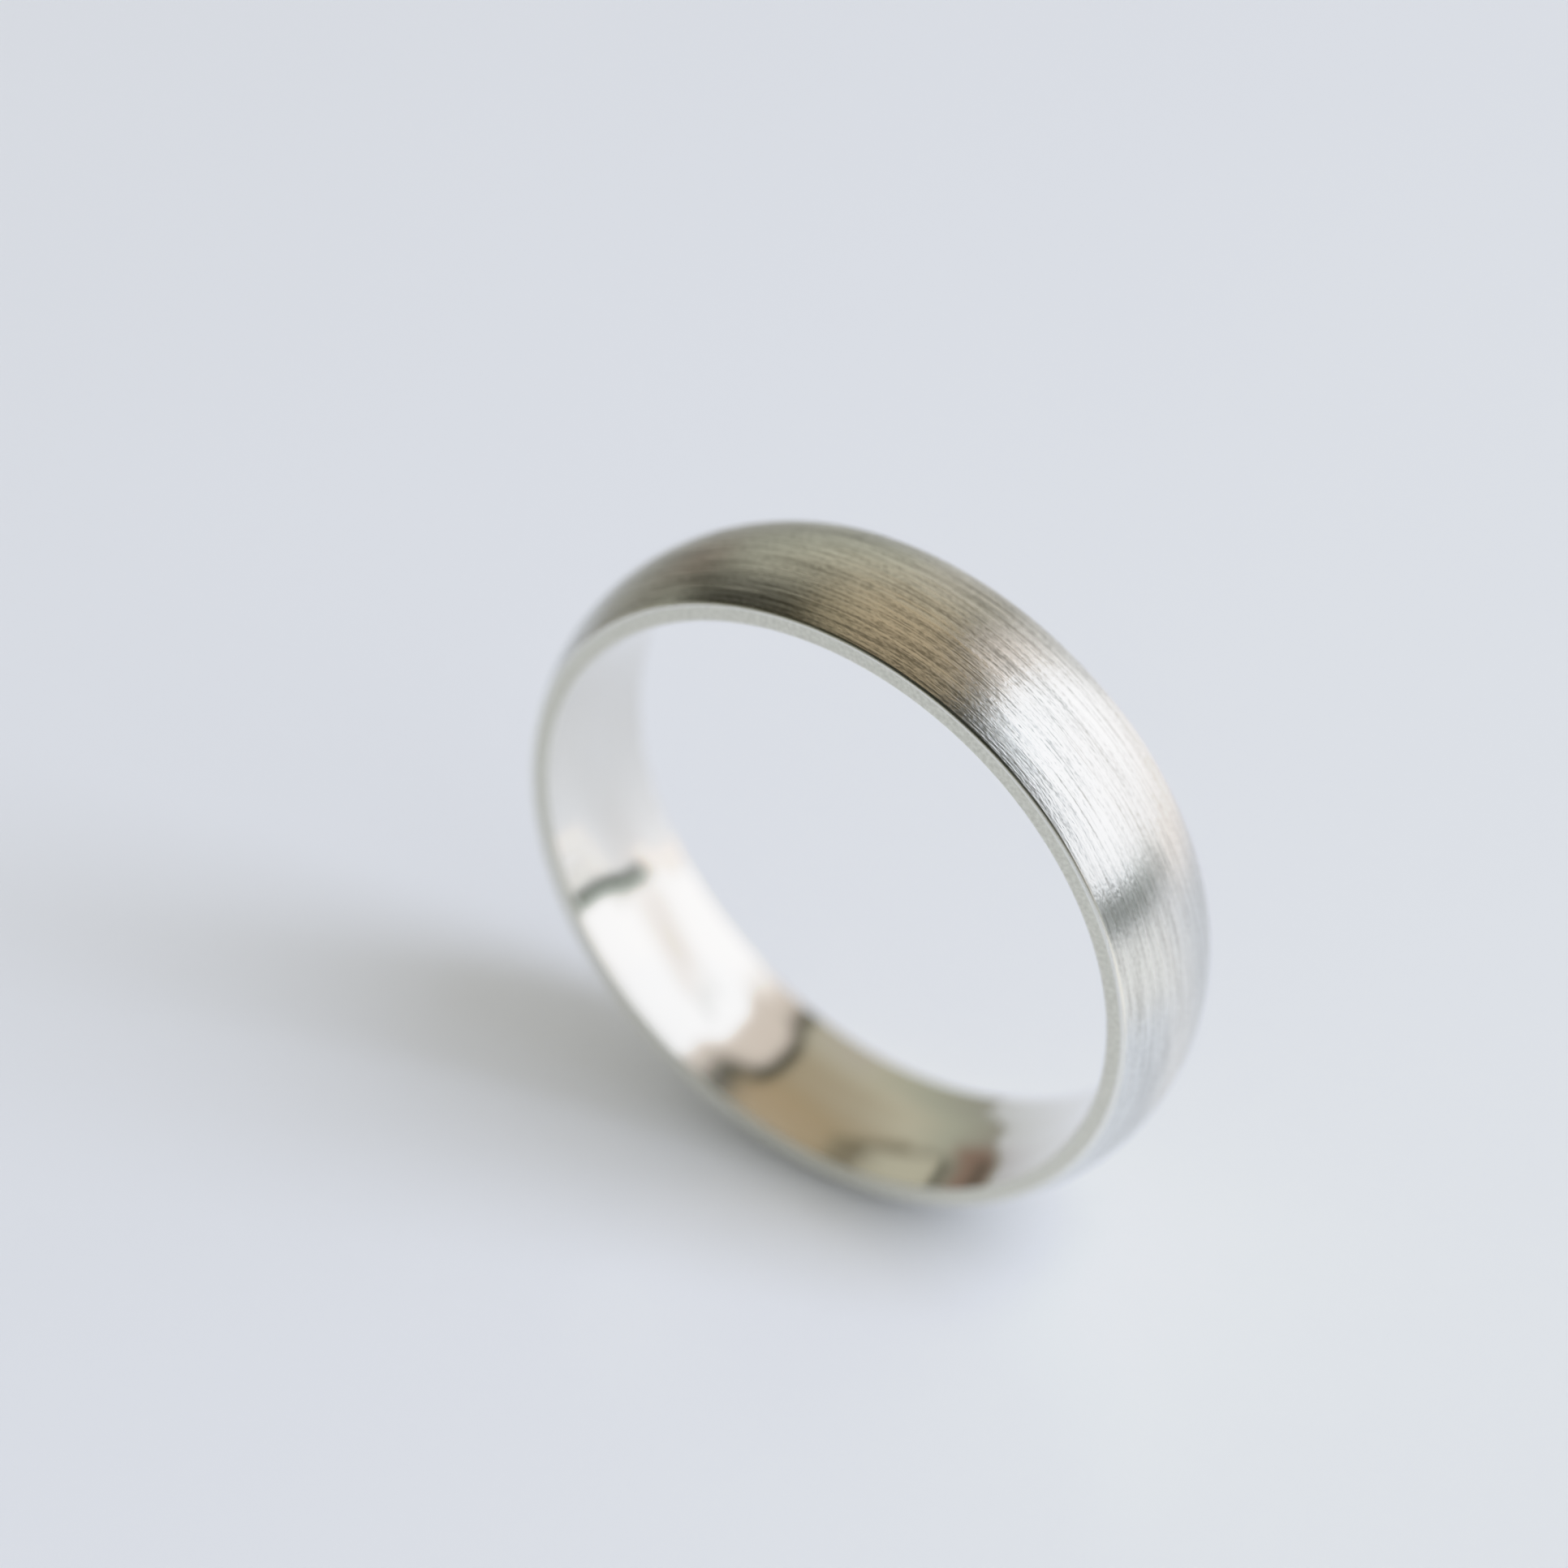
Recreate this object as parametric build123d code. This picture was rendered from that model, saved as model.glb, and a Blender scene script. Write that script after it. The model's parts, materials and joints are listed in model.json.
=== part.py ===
from build123d import *
import math
import os

# Plain court-section wedding band: domed outside, and opening out gently inside so that it
# slides over a knuckle. It is made the bench way: a length of shaped silver wire is bent to a hoop,
# its two square ends meet at the bottom, and a film of hard solder fills the butt joint.
#
# Frame: the finger axis runs along Y, +Z is up, and the band stands on its crown.
# Origin: centre of the bore, midway between the two side faces.
# Units: millimetres.

# Driving dimensions
BORE_DIAMETER = 16.5      # narrowest inside diameter, the ring size
BAND_WIDTH = 4.1          # from side face to side face, along the finger
CROWN_THICKNESS = 1.33    # wall at the middle of the band
BORE_LAND = 0.5           # width of the straight, cylindrical middle of the bore
FLANK_RADIUS = 5.2        # curve of the bore between its land and the taper at each mouth
MOUTH_TAPER = 11.0        # degrees by which the bore opens towards each side face
EDGE_THICKNESS = 0.50     # wall at the side faces, before the edges are eased
OUTER_EDGE_ROUND = 0.15   # eased edge between side face and dome
INNER_EDGE_ROUND = 0.05   # eased edge between side face and bore
SOLDER_FILM = 0.08        # gap between the two wire ends, filled with solder

# Derived dimensions
BORE_RADIUS = BORE_DIAMETER / 2
CROWN_RADIUS = BORE_RADIUS + CROWN_THICKNESS
HALF_WIDTH = BAND_WIDTH / 2
HALF_LAND = BORE_LAND / 2
TAPER = math.radians(MOUTH_TAPER)
TAPER_START = HALF_LAND + FLANK_RADIUS * math.sin(TAPER)
TAPER_START_RADIUS = BORE_RADIUS + FLANK_RADIUS * (1 - math.cos(TAPER))
MOUTH_RADIUS = TAPER_START_RADIUS + (HALF_WIDTH - TAPER_START) * math.tan(TAPER)
SHOULDER_RADIUS = MOUTH_RADIUS + EDGE_THICKNESS

# The wire section is drawn below the origin, where the butt joint lies:
# local X runs down, away from the finger axis, and local Y runs along the finger.
JOINT_PLANE = Plane(origin=(0, 0, 0), x_dir=(0, 0, -1), z_dir=(1, 0, 0))


def wire_section():
    """Section of the wire: domed back, two flat edges, and a bore side that rises from a
    straight middle through a curve to a straight taper at each edge."""
    with BuildSketch(JOINT_PLANE) as section:
        with BuildLine():
            ThreePointArc(
                (SHOULDER_RADIUS, HALF_WIDTH),
                (CROWN_RADIUS, 0),
                (SHOULDER_RADIUS, -HALF_WIDTH),
            )
            for side in (-1, 1):
                shoulder = (SHOULDER_RADIUS, side * HALF_WIDTH)
                mouth = (MOUTH_RADIUS, side * HALF_WIDTH)
                taper_start = (TAPER_START_RADIUS, side * TAPER_START)
                land_end = (BORE_RADIUS, side * HALF_LAND)
                Line(shoulder, mouth)
                Line(mouth, taper_start)
                TangentArc(land_end, taper_start, tangent=(0, side))
            Line((BORE_RADIUS, -HALF_LAND), (BORE_RADIUS, HALF_LAND))
        make_face()
        fillet(corners_at(section, SHOULDER_RADIUS), radius=OUTER_EDGE_ROUND)
        fillet(corners_at(section, MOUTH_RADIUS), radius=INNER_EDGE_ROUND)
    return section.sketch


def corners_at(section, radius):
    """The two corners of the section that lie at this distance from the finger axis."""
    return section.vertices().sort_by(lambda corner: abs(corner.X - radius))[:2]


def closed_band():
    """The whole ring, hoop and solder together, as the section turned about the finger axis."""
    return revolve(wire_section(), axis=Axis.Y, revolution_arc=360)


def joint_slab():
    """Parallel-sided slab between the two wire ends, covering the wall below the bore only."""
    middle_of_wall = (BORE_RADIUS + CROWN_RADIUS) / 2
    slab = Box(SOLDER_FILM, 2 * BAND_WIDTH, 2 * CROWN_THICKNESS)
    return Pos(0, 0, -middle_of_wall) * slab


def band_hoop(band, slab):
    """The bent wire: the ring less the gap between its two ends."""
    return band - slab


def solder_seam(band, slab):
    """The solder film: exactly the part of the ring that lies in the gap."""
    return band & slab


def single_solid(shape, label):
    """The one solid of a sub-part, labelled with its node's name."""
    solid = shape.solid()
    solid.label = label
    return solid


def main():
    band = closed_band()
    slab = joint_slab()
    parts = {
        "band_hoop": band_hoop(band, slab),
        "solder_seam": solder_seam(band, slab),
    }
    os.makedirs("parts", exist_ok=True)
    for node, shape in parts.items():
        export_step(single_solid(shape, node), f"parts/{node}.step")


main()
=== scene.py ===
import json
import math

import bpy
import numpy as np
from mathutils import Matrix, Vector


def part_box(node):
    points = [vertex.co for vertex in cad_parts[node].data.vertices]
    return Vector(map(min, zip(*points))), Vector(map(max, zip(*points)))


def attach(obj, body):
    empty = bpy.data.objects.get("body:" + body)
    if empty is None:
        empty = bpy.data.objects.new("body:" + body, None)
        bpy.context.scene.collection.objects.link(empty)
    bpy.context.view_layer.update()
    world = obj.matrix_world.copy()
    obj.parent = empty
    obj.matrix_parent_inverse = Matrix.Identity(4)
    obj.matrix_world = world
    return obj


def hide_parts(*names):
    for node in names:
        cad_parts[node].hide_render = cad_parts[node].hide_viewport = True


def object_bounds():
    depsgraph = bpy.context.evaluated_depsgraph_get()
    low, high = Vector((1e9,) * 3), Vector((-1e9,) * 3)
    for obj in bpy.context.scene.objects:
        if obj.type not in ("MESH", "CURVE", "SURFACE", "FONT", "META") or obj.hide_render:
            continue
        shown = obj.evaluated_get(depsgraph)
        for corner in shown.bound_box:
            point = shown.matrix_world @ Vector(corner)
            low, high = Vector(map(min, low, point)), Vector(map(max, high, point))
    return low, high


# Looks of a plain court-section silver wedding band: brushed round the dome, satin side
# faces, bright eased edges and a polished bore. Lengths are in metres, in the frame's axes:
# the finger axis is Y, Z is up, and the band stands on its crown.

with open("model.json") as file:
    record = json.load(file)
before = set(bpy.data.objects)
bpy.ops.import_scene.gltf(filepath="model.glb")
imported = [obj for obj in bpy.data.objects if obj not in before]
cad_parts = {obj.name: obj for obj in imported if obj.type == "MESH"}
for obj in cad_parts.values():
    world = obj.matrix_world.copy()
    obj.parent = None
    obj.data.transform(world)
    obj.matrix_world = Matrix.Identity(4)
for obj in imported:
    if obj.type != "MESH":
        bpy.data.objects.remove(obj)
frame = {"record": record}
cad_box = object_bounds()

MM = 0.001
DEGREES = 180 / math.pi
SEED = 27

# Sizes read from the frame
finger_bore = next(m for m in frame["record"]["mounts"] if m["name"] == "finger_bore")
CROWN_RADIUS = cad_box[1].x
HALF_WIDTH = cad_box[1].y
BORE_RADIUS = finger_bore["dims"]["r_mm"] * MM
HALF_LAND = finger_bore["dims"]["length_mm"] * MM / 2
HALF_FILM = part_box("solder_seam")[1].x
FLOOR_HEIGHT = cad_box[0].z

# Section sizes that the frame's boxes don't give; they are the part's own
FLANK_RADIUS = 5.2 * MM
MOUTH_TAPER = math.radians(11)
EDGE_THICKNESS = 0.50 * MM
OUTER_EDGE_ROUND = 0.15 * MM
INNER_EDGE_ROUND = 0.05 * MM

# Mesh density
STEPS_AROUND = 520
DOME_STEPS = 60
OUTER_ROUND_STEPS = 8
SIDE_STEPS = 4
INNER_ROUND_STEPS = 5
TAPER_STEPS = 4
FLANK_STEPS = 10
LAND_STEPS = 2
SEAM_STEPS = 2

ZONES = ("dome", "edge", "side", "bore")


# ---------------------------------------------------------------- section outline

def arc_points(centre, radius, start, end, steps):
    """Points (radial, axial, normal angle) on an arc; angles are from the radial direction."""
    angles = np.linspace(start, end, steps + 1)
    return [
        (centre[0] + radius * math.cos(a), centre[1] + radius * math.sin(a), a)
        for a in angles
    ]


def half_outline():
    """Half of the section, from the crown round the back side face to the middle of the bore.

    Returns the points (radial, axial, normal angle) and the zone of each stretch between them.
    """
    flank_run = FLANK_RADIUS * math.sin(MOUTH_TAPER)
    taper_start = BORE_RADIUS + FLANK_RADIUS * (1 - math.cos(MOUTH_TAPER))
    taper_slope = math.tan(MOUTH_TAPER)
    mouth = taper_start + (HALF_WIDTH - HALF_LAND - flank_run) * taper_slope
    rise = CROWN_RADIUS - (mouth + EDGE_THICKNESS)
    dome_radius = (HALF_WIDTH**2 + rise**2) / (2 * rise)
    dome_centre = CROWN_RADIUS - dome_radius
    reach = dome_radius - OUTER_EDGE_ROUND
    inset = HALF_WIDTH - OUTER_EDGE_ROUND
    dome_end = math.asin(inset / reach)
    outer_centre = (dome_centre + reach * math.cos(dome_end), inset)

    inset = HALF_WIDTH - INNER_EDGE_ROUND
    taper_end = math.pi - MOUTH_TAPER
    back_off = INNER_EDGE_ROUND * (1 / math.cos(MOUTH_TAPER) - taper_slope)
    inner_centre = (mouth + back_off, inset)
    mouth_end = (
        inner_centre[0] + INNER_EDGE_ROUND * math.cos(taper_end),
        inset + INNER_EDGE_ROUND * math.sin(taper_end),
    )
    flank_centre = (BORE_RADIUS + FLANK_RADIUS, HALF_LAND)
    flank_end = (taper_start, HALF_LAND + flank_run)

    quarter = math.pi / 2
    stretches = [
        ("dome", arc_points((dome_centre, 0), dome_radius, 0, dome_end, DOME_STEPS)),
        ("edge", arc_points(outer_centre, OUTER_EDGE_ROUND, dome_end, quarter, OUTER_ROUND_STEPS)),
        ("side", [
            (outer_centre[0] + t * (inner_centre[0] - outer_centre[0]), HALF_WIDTH, quarter)
            for t in np.linspace(0, 1, SIDE_STEPS + 1)
        ]),
        ("edge", arc_points(inner_centre, INNER_EDGE_ROUND, quarter, taper_end, INNER_ROUND_STEPS)),
        ("bore", [
            (mouth_end[0] + t * (flank_end[0] - mouth_end[0]),
             mouth_end[1] + t * (flank_end[1] - mouth_end[1]), taper_end)
            for t in np.linspace(0, 1, TAPER_STEPS + 1)
        ]),
        ("bore", arc_points(flank_centre, FLANK_RADIUS, taper_end, math.pi, FLANK_STEPS)),
        ("bore", [
            (BORE_RADIUS, HALF_LAND * (1 - t), math.pi)
            for t in np.linspace(0, 1, LAND_STEPS + 1)
        ]),
    ]
    points, zones = [], []
    for zone, stretch in stretches:
        points += stretch if not points else stretch[1:]
        zones += [zone] * (len(stretch) - 1)
    return points, zones


def full_outline():
    """The closed section as arrays radial, axial, normal angle, and the zone after each point."""
    points, zones = half_outline()
    mirrored = [(r, -y, -a) for r, y, a in points[-2:0:-1]]
    loop = np.array(points + mirrored)
    return loop[:, 0], loop[:, 1], loop[:, 2], zones + zones[::-1]


# ---------------------------------------------------------------- brush marks as relief

BRUSH_STROKES = 5600
STROKE_LENGTH = (0.5 * MM, 5.0 * MM)
STROKE_WIDTH = (0.035 * MM, 0.08 * MM)
STROKE_DEPTH = 0.8e-6
STROKE_SLANT = 0.012
# The relief covers the dome and the gentle start of the edges, up to this tilt of the surface
BRUSHED_TILT = math.pi / 2 - 0.6


def brush_relief(around, across, rng):
    """Height of the brushed surface over a grid of distances around and across the dome."""
    height = np.zeros((len(around), len(across)))
    length_of_hoop = around[-1] + (around[1] - around[0])
    lengths = np.exp(rng.uniform(*np.log(STROKE_LENGTH), BRUSH_STROKES))
    widths = rng.uniform(*STROKE_WIDTH, BRUSH_STROKES)
    middles = rng.uniform(0, length_of_hoop, BRUSH_STROKES)
    tracks = rng.uniform(across[0], across[-1], BRUSH_STROKES)
    depths = rng.normal(0, STROKE_DEPTH, BRUSH_STROKES)
    slants = rng.normal(0, STROKE_SLANT, BRUSH_STROKES)
    for length, width, middle, track, depth, slant in zip(
        lengths, widths, middles, tracks, depths, slants
    ):
        offset = (around - middle + length_of_hoop / 2) % length_of_hoop - length_of_hoop / 2
        rows = np.flatnonzero(np.abs(offset) < length)
        columns = np.flatnonzero(np.abs(across - track) < 3 * width)
        if len(rows) == 0 or len(columns) == 0:
            continue
        along = np.exp(-2 * (offset[rows] / length) ** 2)
        drift = across[columns][None, :] - track - slant * offset[rows][:, None]
        height[np.ix_(rows, columns)] += depth * along[:, None] * np.exp(-((drift / width) ** 2))
    return height


# ---------------------------------------------------------------- swept meshes

def swept_piece(name, start_side, end_side, sweep, steps, relief_rng=None):
    """The section swept round the finger axis between two flat butt faces.

    The butt faces lie at start_side and end_side times the half film from the vertical
    plane below the bore, and sweep is the whole angle turned between them.
    """
    radial, axial, tilt, zones = full_outline()
    count = len(radial)
    start = np.arcsin(start_side * HALF_FILM / radial)
    end = sweep + np.arcsin(end_side * HALF_FILM / radial)
    share = np.linspace(0, 1, steps + 1)
    turn = start[None, :] + share[:, None] * (end - start)[None, :]

    lift = np.zeros((steps + 1, count))
    slope_around, slope_across = np.zeros_like(lift), np.zeros_like(lift)
    if relief_rng is not None:
        dome = [i for i in range(count) if abs(tilt[i]) < BRUSHED_TILT]
        order = sorted(dome, key=lambda i: axial[i])
        around = share * sweep * CROWN_RADIUS
        across = np.cumsum(np.hypot(np.diff(radial[order], prepend=radial[order[0]]),
                                    np.diff(axial[order], prepend=axial[order[0]])))
        lift[:, order] = brush_relief(around, axial[order], relief_rng)
        slope_around[:, order] = np.gradient(lift[:, order], around, axis=0)
        slope_across[:, order] = np.gradient(lift[:, order], across, axis=1)

    cosine, sine = np.cos(tilt)[None, :], np.sin(tilt)[None, :]
    reach = radial[None, :] + lift * cosine
    width = axial[None, :] + lift * sine
    # turn is measured from straight down, through +X, so that turn 90 degrees is +X
    vertices = np.stack([reach * np.sin(turn), width, -reach * np.cos(turn)], axis=-1)
    # the true normals: the section's own, tipped by the slopes of the relief
    outward = cosine + slope_across * sine
    sideward = sine - slope_across * cosine
    normals = np.stack([
        outward * np.sin(turn) - slope_around * np.cos(turn),
        sideward,
        -outward * np.cos(turn) - slope_around * np.sin(turn),
    ], axis=-1).reshape(-1, 3)
    normals /= np.linalg.norm(normals, axis=1)[:, None]

    faces, materials = [], []
    for i in range(steps):
        for j in range(count):
            k = (j + 1) % count
            faces.append((i * count + j, i * count + k, (i + 1) * count + k, (i + 1) * count + j))
            materials.append(ZONES.index(zones[j]))
    last = steps * count
    faces.append(tuple(range(count - 1, -1, -1)))
    faces.append(tuple(last + j for j in range(count)))
    materials += [ZONES.index("side")] * 2

    mesh = bpy.data.meshes.new(name)
    mesh.from_pydata(vertices.reshape(-1, 3).tolist(), [], faces)
    mesh.polygons.foreach_set("material_index", materials)
    mesh.polygons.foreach_set("use_smooth", [True] * (len(faces) - 2) + [False] * 2)
    add_uv(mesh, radial, axial, steps)
    mesh.update()
    corners = np.zeros(len(mesh.loops), dtype=np.int32)
    mesh.loops.foreach_get("vertex_index", corners)
    corner_normals = normals[corners]
    corner_normals[-2 * count:-count] = (-1, 0, 0)
    corner_normals[-count:] = (1, 0, 0)
    mesh.normals_split_custom_set(corner_normals.tolist())
    piece = bpy.data.objects.new(name, mesh)
    bpy.context.scene.collection.objects.link(piece)
    return piece


def add_uv(mesh, radial, axial, steps):
    """UVs that unroll the sweep: U runs round the hoop and V round the section."""
    count = len(radial)
    step = np.hypot(np.diff(radial, append=radial[0]), np.diff(axial, append=axial[0]))
    along = np.concatenate([[0], np.cumsum(step)])
    along = along / along[-1]
    layer = mesh.uv_layers.new(name="UVMap")
    uv = np.zeros((len(mesh.loops), 2))
    cursor = 0
    for i in range(steps):
        for j in range(count):
            u0, u1 = i / steps, (i + 1) / steps
            uv[cursor:cursor + 4] = (
                (u0, along[j]), (u0, along[j + 1]), (u1, along[j + 1]), (u1, along[j])
            )
            cursor += 4
    for _ in range(2):
        uv[cursor:cursor + count, 0] = 0.5
        uv[cursor:cursor + count, 1] = along[:count]
        cursor += count
    layer.data.foreach_set("uv", uv.ravel())


# ---------------------------------------------------------------- materials

class Tree:
    """Short forms for building a node tree."""

    def __init__(self, tree):
        self.tree = tree

    def node(self, kind, **settings):
        node = self.tree.nodes.new(kind)
        for key, value in settings.items():
            setattr(node, key, value)
        return node

    def link(self, source, target):
        self.tree.links.new(source, target)

    def feed(self, target, value):
        """Sets an input from a number, a colour or another node's output."""
        if isinstance(value, bpy.types.NodeSocket):
            self.link(value, target)
        else:
            target.default_value = value

    def math(self, operation, *values, clamp=False):
        node = self.node("ShaderNodeMath", operation=operation, use_clamp=clamp)
        for socket, value in zip(node.inputs, values):
            self.feed(socket, value)
        return node.outputs[0]

    def combine(self, x, y, z):
        node = self.node("ShaderNodeCombineXYZ")
        for socket, value in zip(node.inputs, (x, y, z)):
            self.feed(socket, value)
        return node.outputs[0]

    def noise(self, vector, scale=1.0, detail=2.0):
        node = self.node("ShaderNodeTexNoise")
        self.feed(node.inputs["Vector"], vector)
        node.inputs["Scale"].default_value = scale
        node.inputs["Detail"].default_value = detail
        return node.outputs["Fac"]

    def remap(self, value, low, high, to_low, to_high, smooth=False):
        node = self.node("ShaderNodeMapRange")
        node.interpolation_type = "SMOOTHSTEP" if smooth else "LINEAR"
        for socket, item in zip(node.inputs, (value, low, high, to_low, to_high)):
            self.feed(socket, item)
        return node.outputs[0]

    def mix_colour(self, share, first, second):
        node = self.node("ShaderNodeMix", data_type="RGBA")
        self.feed(node.inputs[0], share)
        self.feed(node.inputs[6], first)
        self.feed(node.inputs[7], second)
        return node.outputs[2]


def ring_coordinates(t):
    """The cosine and sine of the place round the hoop, then the radius and axial Y in mm."""
    place = t.node("ShaderNodeTexCoord").outputs["Object"]
    split = t.node("ShaderNodeSeparateXYZ")
    t.link(place, split.inputs[0])
    x, y, z = split.outputs
    radius = t.math("SQRT", t.math("ADD", t.math("MULTIPLY", x, x), t.math("MULTIPLY", z, z)))
    cosine = t.math("DIVIDE", x, radius)
    sine = t.math("DIVIDE", z, radius)
    return cosine, sine, t.math("DIVIDE", radius, MM), t.math("DIVIDE", y, MM)


def brushed_noise(t, coordinates, across, length, width, shift=0.0, detail=2.0):
    """Noise drawn out round the hoop: its grain is length mm long and width mm wide."""
    cosine, sine = coordinates[:2]
    turns = CROWN_RADIUS / MM / length
    vector = t.combine(
        t.math("MULTIPLY_ADD", cosine, turns, shift),
        t.math("MULTIPLY", sine, turns),
        t.math("DIVIDE", across, width),
    )
    return t.noise(vector, detail=detail)


def new_material(name):
    """A metal material, its node tree and its surface node."""
    material = bpy.data.materials.new(name)
    material.use_nodes = True
    t = Tree(material.node_tree)
    surface = material.node_tree.nodes["Principled BSDF"]
    surface.inputs["Metallic"].default_value = 1.0
    return material, t, surface


def bump(t, surface, height, distance):
    """Relief in the shading only: the height's full range stands for this distance."""
    node = t.node("ShaderNodeBump")
    node.inputs["Strength"].default_value = 1.0
    node.inputs["Distance"].default_value = distance
    t.link(height, node.inputs["Height"])
    t.link(node.outputs[0], surface.inputs["Normal"])


def across_highlight(t, surface, amount):
    """Draws highlights out across the band, as grooves that run round the hoop do."""
    tangent = t.node("ShaderNodeTangent", direction_type="RADIAL", axis="Y")
    t.link(tangent.outputs[0], surface.inputs["Tangent"])
    surface.inputs["Anisotropic"].default_value = amount
    surface.inputs["Anisotropic Rotation"].default_value = 0.25


# Colours of the metal: the light and dark tones of each finish, then the solder's
SILVER = (0.94, 0.93, 0.90, 1)
BRUSHED_SILVER = (0.98, 0.985, 0.96, 1)
BRUSHED_DEEP = (0.46, 0.465, 0.44, 1)
SCRATCH = (0.33, 0.315, 0.275, 1)
# the dome's tones lower down the band, darker: painted shade
LOWER_SHADED_SILVER = (0.79, 0.80, 0.78, 1)
LOWER_SHADED_DEEP = (0.585, 0.59, 0.57, 1)
SATIN_SILVER = (0.85, 0.84, 0.745, 1)
SATIN_DEEP = (0.68, 0.67, 0.58, 1)
BORE_SILVER = (0.86, 0.845, 0.81, 1)
BORE_DULL = (0.77, 0.755, 0.70, 1)
BRUSHED_SOLDER = (0.85, 0.845, 0.81, 1)
SOLDER = (0.91, 0.895, 0.85, 1)
SATIN_SOLDER = (0.76, 0.75, 0.71, 1)


def brushed_silver(name, light=BRUSHED_SILVER):
    """The dome: satin brushed round the hoop, with long streaks and short cut marks, and painted
    shade lower down.
    """
    material, t, surface = new_material(name)
    ring = ring_coordinates(t)
    axial = ring[3]
    streaks = brushed_noise(t, ring, axial, length=5.0, width=0.08, detail=4.0)
    lines = brushed_noise(t, ring, axial, length=1.8, width=0.05, shift=4.0, detail=2.0)
    hairs = brushed_noise(t, ring, axial, length=0.15, width=0.034, shift=9.0, detail=1.0)
    height = t.math("MULTIPLY", streaks, 0.34)
    height = t.math("MULTIPLY_ADD", lines, 0.36, height)
    height = t.math("MULTIPLY_ADD", hairs, 0.30, height)
    tone = t.remap(height, 0.40, 0.525, 0.0, 1.0)
    # painted shade: lower down the band the dome's colour is darker and its streaks are softer
    upper_share = t.remap(ring[1], 0.45, 0.92, 0.0, 1.0, smooth=True)
    light = t.mix_colour(upper_share, LOWER_SHADED_SILVER, light)
    dark = t.mix_colour(upper_share, LOWER_SHADED_DEEP, BRUSHED_DEEP)
    cuts = brushed_noise(t, ring, axial, length=2.5, width=0.04, shift=14.0, detail=1.0)
    cut = t.remap(cuts, 0.60, 0.74, 0.0, 1.0)
    cut = t.math("MULTIPLY", cut, t.remap(upper_share, 0.0, 1.0, 0.3, 1.0))
    t.link(
        t.mix_colour(cut, t.mix_colour(tone, dark, light), SCRATCH),
        surface.inputs["Base Color"],
    )
    t.link(t.remap(streaks, 0.35, 0.65, 0.32, 0.26), surface.inputs["Roughness"])
    bump(t, surface, height, distance=20e-6)
    across_highlight(t, surface, 0.72)
    return material


def bright_edge(name, light=SILVER):
    """The eased edges: burnished, with the faintest drawn-out marks."""
    material, t, surface = new_material(name)
    ring = ring_coordinates(t)
    marks = brushed_noise(t, ring, ring[2], length=1.2, width=0.04, shift=2.0)
    t.link(t.mix_colour(marks, SATIN_SILVER, light), surface.inputs["Base Color"])
    t.link(t.remap(marks, 0.3, 0.7, 0.20, 0.30), surface.inputs["Roughness"])
    bump(t, surface, marks, distance=1.5e-6)
    return material


def satin_side(name, light=SATIN_SILVER):
    """The flat side faces: fine satin, rubbed on a flat stone, with faint marks across."""
    material, t, surface = new_material(name)
    place = t.node("ShaderNodeTexCoord").outputs["Object"]
    grain = t.noise(place, scale=1 / (0.05 * MM), detail=3.0)
    cloud = t.noise(place, scale=1 / (0.12 * MM), detail=3.0)
    tone = t.remap(cloud, 0.3, 0.7, 0.0, 1.0)
    t.link(t.mix_colour(tone, SATIN_DEEP, light), surface.inputs["Base Color"])
    t.link(t.remap(grain, 0.3, 0.7, 0.34, 0.46), surface.inputs["Roughness"])
    bump(t, surface, grain, distance=3.5e-6)
    return material


def polished_bore(name, light=BORE_SILVER):
    """The bore: polished, with a trace of buffing marks round it."""
    material, t, surface = new_material(name)
    ring = ring_coordinates(t)
    buffing = brushed_noise(t, ring, ring[3], length=4.0, width=0.12, shift=6.0, detail=3.0)
    t.link(t.mix_colour(buffing, BORE_DULL, light), surface.inputs["Base Color"])
    t.link(t.remap(buffing, 0.3, 0.7, 0.08, 0.14), surface.inputs["Roughness"])
    bump(t, surface, buffing, distance=1.2e-6)
    return material


# ---------------------------------------------------------------- the band

def build_band():
    """The hoop and its solder seam, each with its four finishes in the order of ZONES."""
    rng = np.random.default_rng(SEED)
    silver = [
        brushed_silver("brushed_silver"),
        bright_edge("burnished_edge"),
        satin_side("satin_side"),
        polished_bore("polished_bore"),
    ]
    solder = [
        brushed_silver("brushed_solder", light=BRUSHED_SOLDER),
        bright_edge("burnished_solder", light=SOLDER),
        satin_side("satin_solder", light=SATIN_SOLDER),
        polished_bore("polished_solder", light=BORE_DULL),
    ]
    hoop = swept_piece("brushed_band", 1, -1, 2 * math.pi, STEPS_AROUND, rng)
    seam = swept_piece("flush_solder_seam", -1, 1, 0.0, SEAM_STEPS)
    for piece, materials, node, slot in (
        (hoop, silver, "band_hoop", "satin_silver"),
        (seam, solder, "solder_seam", "hard_solder"),
    ):
        for material in materials:
            piece.data.materials.append(material)
        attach(piece, "root")
        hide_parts(node)


# ---------------------------------------------------------------- floor and surroundings

FLOOR_HALF_SIZE = 1.5
FLOOR_ROUGHNESS = 0.30
FLOOR_CLOUD_SIZE = 12 * MM
FLOOR_COLOURS = ((0.825, 0.84, 0.865, 1), (0.835, 0.85, 0.875, 1))


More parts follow.
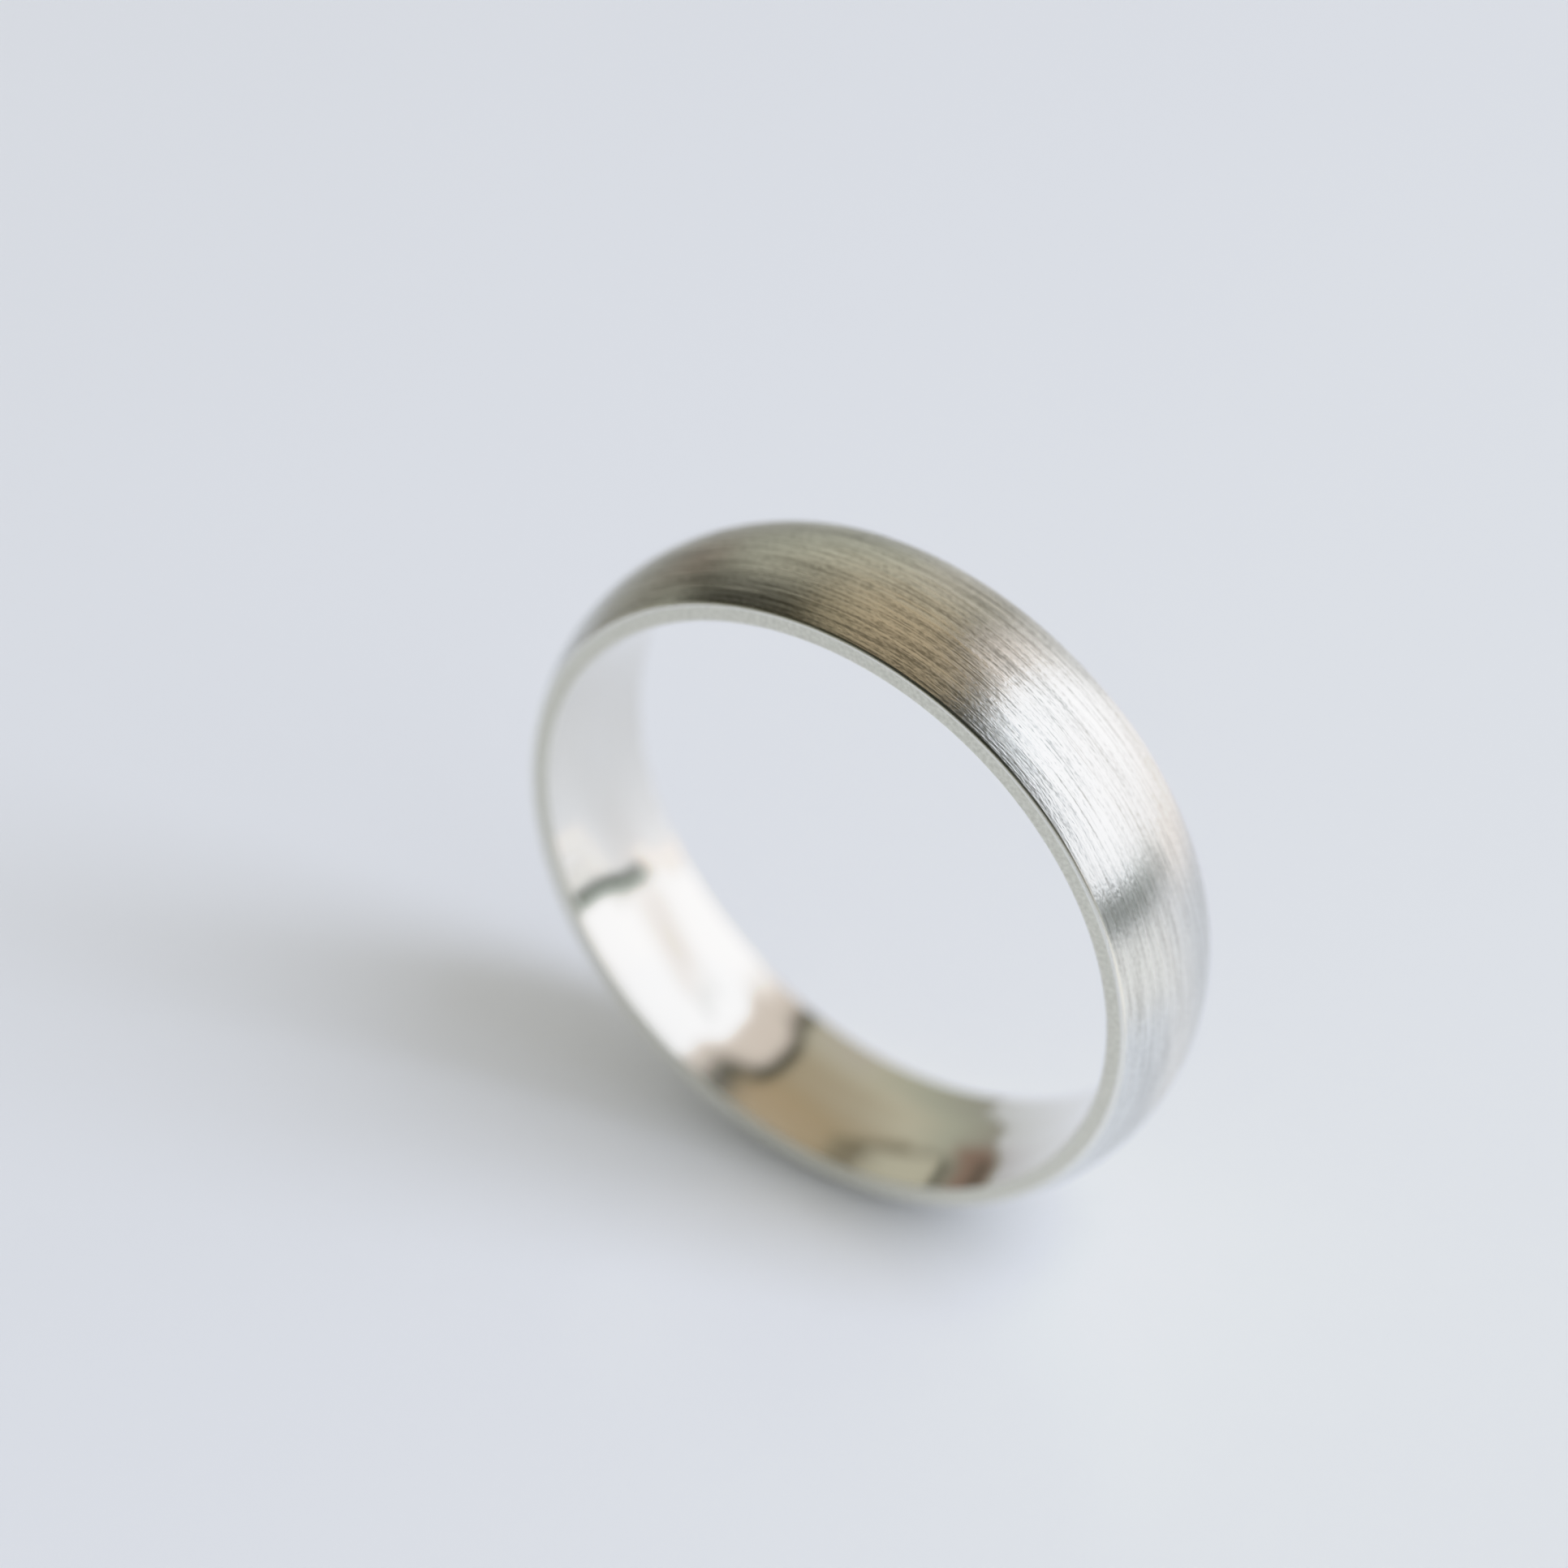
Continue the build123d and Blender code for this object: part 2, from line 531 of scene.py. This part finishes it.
def build_floor():
    """A plain pale matte floor that the band stands on."""
    half = FLOOR_HALF_SIZE
    mesh = bpy.data.meshes.new("floor")
    corners = [(-half, -half), (half, -half), (half, half), (-half, half)]
    mesh.from_pydata([(x, y, FLOOR_HEIGHT) for x, y in corners], [], [(0, 1, 2, 3)])
    floor = bpy.data.objects.new("floor", mesh)
    bpy.context.scene.collection.objects.link(floor)
    material, t, surface = new_material("pale_floor")
    surface.inputs["Metallic"].default_value = 0.0
    surface.inputs["Roughness"].default_value = FLOOR_ROUGHNESS
    place = t.node("ShaderNodeTexCoord").outputs["Object"]
    cloud = t.noise(place, scale=1 / FLOOR_CLOUD_SIZE, detail=2.0)
    t.link(t.mix_colour(cloud, *FLOOR_COLOURS), surface.inputs["Base Color"])
    mesh.materials.append(material)


# The room that the metal mirrors: a wall and ceiling whose colour changes with elevation, and
# soft rounded patches painted over it in this order. Each patch has the azimuth from +X towards
# +Y and the elevation of its middle, its half width and half height, the rounding of its
# corners and the softness of its edge, in degrees; then its colour.
ROOM_BY_ELEVATION = (
    (0, (0.33, 0.33, 0.28)),
    (16, (0.42, 0.43, 0.35)),
    (30, (0.53, 0.505, 0.40)),
    (46, (0.44, 0.39, 0.29)),
    (62, (0.41, 0.332, 0.216)),
    (78, (0.45, 0.353, 0.228)),
    (90, (0.41, 0.33, 0.22)),
)
PATCHES = (
    ("dark_room", -115, 41, 95, 26, 14, 8, (0.035, 0.033, 0.020)),
    ("door_post", 147, 50, 2.5, 18, 2, 3, (0.20, 0.18, 0.12)),
    ("low_furniture", 174, 1, 14, 8, 3, 4, (0.19, 0.18, 0.14)),
    ("tall_furniture", 177, 38.5, 13.5, 12.5, 6, 3, (0.006, 0.005, 0.003)),
    ("ceiling_over_it", 178, 66, 16, 8, 5, 6, (0.58, 0.48, 0.315)),
    ("pale_gap", 157, 37, 5.5, 14, 1, 1.5, (0.56, 0.54, 0.43)),
    ("red_thing", 151.5, 7.5, 6.5, 7.5, 3, 5, (0.24, 0.148, 0.112)),
    ("red_shadow", 155, 5, 3, 3, 1, 3, (0.10, 0.085, 0.065)),
    ("wall_by_window", 102, 14, 9, 20, 4, 6, (0.50, 0.47, 0.40)),
    ("window_frame", 23, 31, 68, 40, 24, 3, (0.075, 0.075, 0.052)),
    ("window_reveal", 26, 26, 60, 38, 24, 4, (0.75, 0.675, 0.62)),
    ("window", 22, 26, 47, 31, 29, 3, (1.45, 1.48, 1.58)),
    ("low_window", 48, 13, 33, 13, 5, 5, (1.56, 1.55, 1.61)),
    ("low_reveal", 87, 11, 7, 12, 3, 4, (0.74, 0.73, 0.71)),
    ("window_top_corner", 0, 54.5, 20, 9.5, 7, 6, (1.27, 1.34, 1.45)),
    ("window_view_low", 41, 22, 5, 18, 5, 8, (0.92, 0.84, 0.80)),
    ("window_view", 47, 43, 3, 5, 3, 6, (0.58, 0.62, 0.61)),
    ("thing_on_sill", 27, 6, 3, 2, 2, 3, (0.66, 0.67, 0.64)),
    ("sill", 6, -1.5, 38, 5.3, 2, 1.5, (0.36, 0.415, 0.385)),
    ("sill_end", -1, -1, 12, 5.5, 3, 3, (0.06, 0.07, 0.06)),
    ("photographer", -66, 41, 46, 30, 16, 8, (0.018, 0.020, 0.014)),
)
# What lights the floor: a dim warm room, its pale ceiling and the soft window on the right
SKY_ROOM = (0.22, 0.215, 0.19)
SKY_PATCHES = (
    (0, 90, 200, 48, 0, 16, (0.94, 0.94, 0.91)),
    (20, 35, 60, 36, 30, 18, (0.88, 0.90, 0.93)),
)
# The window is far brighter than it looks; the band throws its light back onto the floor
THROWN_LIGHT = 2.7
BACKDROP = (0.70, 0.725, 0.775)


def patch_mask_group():
    """A node group: how far a direction lies inside a soft rounded patch, from 0 to 1."""
    group = bpy.data.node_groups.new("patch_mask", "ShaderNodeTree")
    names = ("azimuth", "elevation", "middle_azimuth", "middle_elevation",
             "half_width", "half_height", "rounding", "softness")
    for name in names:
        group.interface.new_socket(name, in_out="INPUT", socket_type="NodeSocketFloat")
    group.interface.new_socket("mask", in_out="OUTPUT", socket_type="NodeSocketFloat")
    t = Tree(group)
    given = dict(zip(names, t.node("NodeGroupInput").outputs))
    side = t.math("SUBTRACT", given["azimuth"], given["middle_azimuth"])
    side = t.math("ABSOLUTE", t.math("WRAP", side, 180.0, -180.0))
    side = t.math("SUBTRACT", side, t.math("SUBTRACT", given["half_width"], given["rounding"]))
    rise = t.math("ABSOLUTE", t.math("SUBTRACT", given["elevation"], given["middle_elevation"]))
    rise = t.math("SUBTRACT", rise, t.math("SUBTRACT", given["half_height"], given["rounding"]))
    side = t.math("MAXIMUM", side, 0.0)
    rise = t.math("MAXIMUM", rise, 0.0)
    square = t.math("ADD", t.math("MULTIPLY", side, side), t.math("MULTIPLY", rise, rise))
    distance = t.math("SUBTRACT", t.math("SQRT", square), given["rounding"])
    inside = t.math("MULTIPLY", given["softness"], -1.0)
    mask = t.remap(distance, inside, given["softness"], 1.0, 0.0, smooth=True)
    t.link(mask, t.node("NodeGroupOutput").inputs[0])
    return group


def build_surroundings():
    """A soft room for the metal to mirror, a pale sky for the floor, and a plain backdrop."""
    world = bpy.data.worlds.new("studio")
    bpy.context.scene.world = world
    world.use_nodes = True
    t = Tree(world.node_tree)
    split = t.node("ShaderNodeSeparateXYZ")
    t.link(t.node("ShaderNodeTexCoord").outputs["Generated"], split.inputs[0])
    x, y, z = split.outputs
    azimuth = t.math("MULTIPLY", t.math("ARCTAN2", y, x), DEGREES)
    elevation = t.math("MULTIPLY", t.math("ARCSINE", z), DEGREES)

    ramp = t.node("ShaderNodeValToRGB")
    t.link(t.math("DIVIDE", elevation, 90.0), ramp.inputs[0])
    stops = ramp.color_ramp.elements
    while len(stops) < len(ROOM_BY_ELEVATION):
        stops.new(1.0)
    for stop, (height, tint) in zip(stops, ROOM_BY_ELEVATION):
        stop.position = height / 90
        stop.color = tint + (1,)
    colour = ramp.outputs[0]

    group = patch_mask_group()

    def paint(under, shape, tint):
        node = t.node("ShaderNodeGroup", node_tree=group)
        t.link(azimuth, node.inputs[0])
        t.link(elevation, node.inputs[1])
        for socket, value in zip(node.inputs[2:], shape):
            socket.default_value = value
        return t.mix_colour(node.outputs[0], under, tint + (1,))

    for _, *shape, tint in PATCHES:
        colour = paint(colour, shape, tint)
    sky = SKY_ROOM + (1,)
    for *shape, tint in SKY_PATCHES:
        sky = paint(sky, shape, tint)

    ray = t.node("ShaderNodeLightPath").outputs
    thrown = t.node("ShaderNodeVectorMath", operation="SCALE")
    t.link(colour, thrown.inputs[0])
    thrown.inputs["Scale"].default_value = THROWN_LIGHT
    after_floor = t.math("MINIMUM", ray["Diffuse Depth"], 1.0)
    colour = t.mix_colour(after_floor, colour, thrown.outputs[0])
    colour = t.mix_colour(ray["Is Diffuse Ray"], colour, sky)
    colour = t.mix_colour(ray["Is Camera Ray"], colour, BACKDROP + (1,))
    background = world.node_tree.nodes["Background"]
    t.link(colour, background.inputs["Color"])


CARD_RAYS = 25
# What the metal mirrors low down, where the floor is lit unevenly: a card's name, its lift above
# the floor in mm, its inner and outer radius in metres, how far it fades in as a multiple of its
# inner radius, its two azimuths, the softness of its sides in degrees and its colour
FLOOR_CARDS = (
    ("floor_sheen", 0.10, (0.020, 0.085), 1.5, (-45, 22), 8, (0.92, 0.92, 0.92)),
    ("floor_gleam", 0.12, (0.008, 0.085), 1.4, (24, 31), 4, (1.08, 1.05, 1.05)),
    ("floor_far_side", 0.15, (0.08, 1.2), 1.5, (-28, 42), 4, (0.15, 0.17, 0.155)),
    ("floor_glare", 0.20, (0.033, 1.2), 1.5, (46, 86), 5, (1.25, 1.15, 1.11)),
    ("floor_by_wall", 0.25, (0.030, 1.2), 3.0, (117, 200), 10, (0.33, 0.325, 0.285)),
)


def floor_card(name, lift, reach, fade, azimuths, softness, tint):
    """A flat glowing sector that lies lift above the floor and that only the metal mirrors.

    It fades in from its inner radius to fade times that, and over softness at its two sides.
    It glows upwards only, so that the floor under it doesn't mirror it.
    """
    start, end = (math.radians(a) for a in (azimuths[0] - softness, azimuths[1] + softness))
    angles = np.linspace(start, end, CARD_RAYS)
    height = FLOOR_HEIGHT + lift
    rim = [(r * math.cos(a), r * math.sin(a), height) for r in reach for a in angles]
    count = len(angles)
    faces = [(i, count + i, count + i + 1, i + 1) for i in range(count - 1)]
    mesh = bpy.data.meshes.new(name)
    mesh.from_pydata(rim, [], faces)
    card = bpy.data.objects.new(name, mesh)
    bpy.context.scene.collection.objects.link(card)
    material = bpy.data.materials.new(name)
    material.use_nodes = True
    t = Tree(material.node_tree)
    split = t.node("ShaderNodeSeparateXYZ")
    t.link(t.node("ShaderNodeTexCoord").outputs["Object"], split.inputs[0])
    x, y, _ = split.outputs
    radius = t.math("SQRT", t.math("ADD", t.math("MULTIPLY", x, x), t.math("MULTIPLY", y, y)))
    turn = t.math("MULTIPLY", t.math("ARCTAN2", y, x), DEGREES)
    middle, half = (azimuths[0] + azimuths[1]) / 2, (azimuths[1] - azimuths[0]) / 2
    aside = t.math("ABSOLUTE", t.math("WRAP", t.math("SUBTRACT", turn, middle), 180.0, -180.0))
    share = t.math(
        "MULTIPLY",
        t.remap(radius, reach[0], reach[0] * fade, 0.0, 1.0, smooth=True),
        t.remap(aside, half - softness, half + softness, 1.0, 0.0, smooth=True),
    )
    from_below = t.node("ShaderNodeNewGeometry").outputs["Backfacing"]
    share = t.math("MULTIPLY", share, t.math("SUBTRACT", 1.0, from_below))
    glow = t.node("ShaderNodeEmission")
    glow.inputs["Color"].default_value = tint + (1,)
    blend = t.node("ShaderNodeMixShader")
    t.link(share, blend.inputs[0])
    t.link(t.node("ShaderNodeBsdfTransparent").outputs[0], blend.inputs[1])
    t.link(glow.outputs[0], blend.inputs[2])
    t.link(blend.outputs[0], material.node_tree.nodes["Material Output"].inputs["Surface"])
    mesh.materials.append(material)
    card.visible_camera = False
    card.visible_diffuse = False
    card.visible_shadow = False


WINDOW_LIGHT_SIZE = (0.19, 0.68)
WINDOW_LIGHT_AZIMUTH = math.radians(16)
WINDOW_LIGHT_ELEVATION = math.radians(46)
WINDOW_LIGHT_DISTANCE = 0.6
WINDOW_LIGHT_WATTS = 2.05
WINDOW_LIGHT_COLOUR = (0.76, 0.82, 1.0)


def build_window_light():
    """Daylight from the tall window on the right, which draws the band's shadow."""
    light = bpy.data.lights.new("window_light", "AREA")
    light.shape = "RECTANGLE"
    light.size, light.size_y = WINDOW_LIGHT_SIZE
    light.energy = WINDOW_LIGHT_WATTS
    light.color = WINDOW_LIGHT_COLOUR
    lamp = bpy.data.objects.new("window_light", light)
    bpy.context.scene.collection.objects.link(lamp)
    turn, rise, distance = WINDOW_LIGHT_AZIMUTH, WINDOW_LIGHT_ELEVATION, WINDOW_LIGHT_DISTANCE
    lamp.location = (
        distance * math.cos(rise) * math.cos(turn),
        distance * math.cos(rise) * math.sin(turn),
        distance * math.sin(rise),
    )
    lamp.rotation_mode = "QUATERNION"
    lamp.rotation_quaternion = lamp.location.to_track_quat("Z", "Y")
    lamp.visible_glossy = False
    lamp.visible_camera = False


# ---------------------------------------------------------------- camera

VIEW_AZIMUTH = math.radians(34.6)
VIEW_ELEVATION = math.radians(39.8)
VIEW_DISTANCE = 14.63 * CROWN_RADIUS
RIGHT_OF_MIDDLE = 0.2142 * CROWN_RADIUS
BELOW_MIDDLE = 0.2243 * CROWN_RADIUS
LENS = 126.5
F_STOP = 24.0


def build_camera():
    """A long lens close to the band, focused on the point of the band nearest to it."""
    data = bpy.data.cameras.new("camera")
    camera = bpy.data.objects.new("camera", data)
    bpy.context.scene.collection.objects.link(camera)
    bpy.context.scene.camera = camera
    back = Vector((
        math.sin(VIEW_AZIMUTH) * math.cos(VIEW_ELEVATION),
        -math.cos(VIEW_AZIMUTH) * math.cos(VIEW_ELEVATION),
        math.sin(VIEW_ELEVATION),
    ))
    right = Vector((math.cos(VIEW_AZIMUTH), math.sin(VIEW_AZIMUTH), 0))
    up = back.cross(right)
    camera.location = back * VIEW_DISTANCE - right * RIGHT_OF_MIDDLE + up * BELOW_MIDDLE
    camera.rotation_mode = "QUATERNION"
    camera.rotation_quaternion = back.to_track_quat("Z", "Y")
    data.sensor_width = 36
    data.lens = LENS
    data.clip_start = 0.005
    data.clip_end = 10

    focus = bpy.data.objects.new("focus", None)
    bpy.context.scene.collection.objects.link(focus)
    focus.constraints.new("COPY_LOCATION").target = camera
    focus.constraints.new("SHRINKWRAP").target = bpy.data.objects["brushed_band"]
    data.dof.use_dof = True
    data.dof.focus_object = focus
    data.dof.aperture_fstop = F_STOP


# ---------------------------------------------------------------- film

# Bright tones ease towards paper white instead of clipping: scene value, shown value
HIGHLIGHT_SHOULDER = (
    (0.78, 0.78),
    (0.95, 0.87),
    (1.1, 0.92),
    (1.25, 0.955),
    (1.6, 0.985),
    (2.0, 1.0),
)


def set_film():
    """Plain tones as they are, with a soft shoulder on the highlights."""
    view = bpy.context.scene.view_settings
    view.view_transform = "Standard"
    view.use_curve_mapping = True
    top = HIGHLIGHT_SHOULDER[-1][0]
    mapping = view.curve_mapping
    mapping.white_level = (top, top, top)
    mapping.extend = "HORIZONTAL"
    curve = mapping.curves[3]
    curve.points[1].location = (1.0, HIGHLIGHT_SHOULDER[-1][1])
    for scene_value, shown_value in HIGHLIGHT_SHOULDER[:-1]:
        curve.points.new(scene_value / top, shown_value)
    for point in curve.points:
        point.handle_type = "VECTOR"
    mapping.update()


build_band()
build_floor()
build_surroundings()
for name, lift, *shape in FLOOR_CARDS:
    floor_card(name, lift * MM, *shape)
build_window_light()
build_camera()
set_film()
